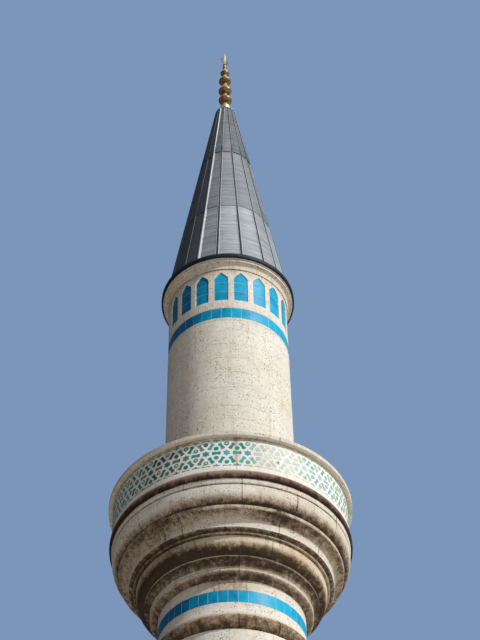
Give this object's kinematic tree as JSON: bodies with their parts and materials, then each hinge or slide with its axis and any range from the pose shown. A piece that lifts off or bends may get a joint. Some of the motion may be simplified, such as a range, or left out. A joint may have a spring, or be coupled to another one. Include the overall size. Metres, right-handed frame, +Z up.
{
  "type": "minaret",
  "caption": "Round stone minaret with a square base, moulded balcony, tiled bands and niches, and a lead spire with a gilded finial.",
  "frame": {"origin": "on the ground, on the tower's axis", "axes": "+Z up along the tower; the ground doorway faces -Y, which is the picture's viewing side"},
  "size_m": [4.3152, 4.3152, 35.74],
  "materials": {
    "ashlar_stone": "cream ashlar, fine pores, dusty",
    "weathered_stone": "moulded stone with brown and black crust",
    "turquoise_tile": "glossy turquoise glaze",
    "lead_sheet": "dull grey lead sheet with dressed seams",
    "gilded_copper": "worn gilding"
  },
  "bodies": {
    "root": {"base_plinth": "ashlar_stone", "front_wall_left": "ashlar_stone", "front_wall_right": "ashlar_stone", "front_wall_over_door": "ashlar_stone", "back_wall": "ashlar_stone", "left_wall": "ashlar_stone", "right_wall": "ashlar_stone", "ground_floor": "ashlar_stone", "base_cornice": "ashlar_stone", "square_to_round_base": "ashlar_stone", "shaft_foot_moulding": "ashlar_stone", "lower_shaft_right": "ashlar_stone", "lower_shaft_left": "ashlar_stone", "neck_wall": "ashlar_stone", "corbel_astragal_and_cove": "ashlar_stone", "corbel_cove": "ashlar_stone", "corbel_large_ovolo": "ashlar_stone", "balcony_deck": "ashlar_stone", "landing": "ashlar_stone", "parapet_panel_1": "ashlar_stone", "parapet_panel_2": "ashlar_stone", "parapet_panel_3": "ashlar_stone", "parapet_panel_4": "ashlar_stone", "parapet_panel_5": "ashlar_stone", "parapet_panel_6": "ashlar_stone", "parapet_panel_7": "ashlar_stone", "parapet_panel_8": "ashlar_stone", "parapet_cap": "ashlar_stone", "upper_shaft_right": "ashlar_stone", "upper_shaft_left": "ashlar_stone", "upper_shaft_drum": "ashlar_stone", "frieze_wall": "ashlar_stone", "niche_arcade": "ashlar_stone", "cornice": "ashlar_stone", "shaft_collar_moulding": "weathered_stone", "corbel_small_ovolo": "weathered_stone", "balcony_rim_moulding": "weathered_stone", "lower_tile_band": "turquoise_tile", "upper_tile_band": "turquoise_tile", "niche_tiles": "turquoise_tile", "eave_rim": "lead_sheet", "roof_lower_course": "lead_sheet", "roof_middle_course": "lead_sheet", "roof_upper_course": "lead_sheet", "roof_shoulder_cap": "lead_sheet", "finial_collar": "gilded_copper", "finial_beads": "gilded_copper", "finial_crescent": "gilded_copper"}
  },
  "joints": []
}
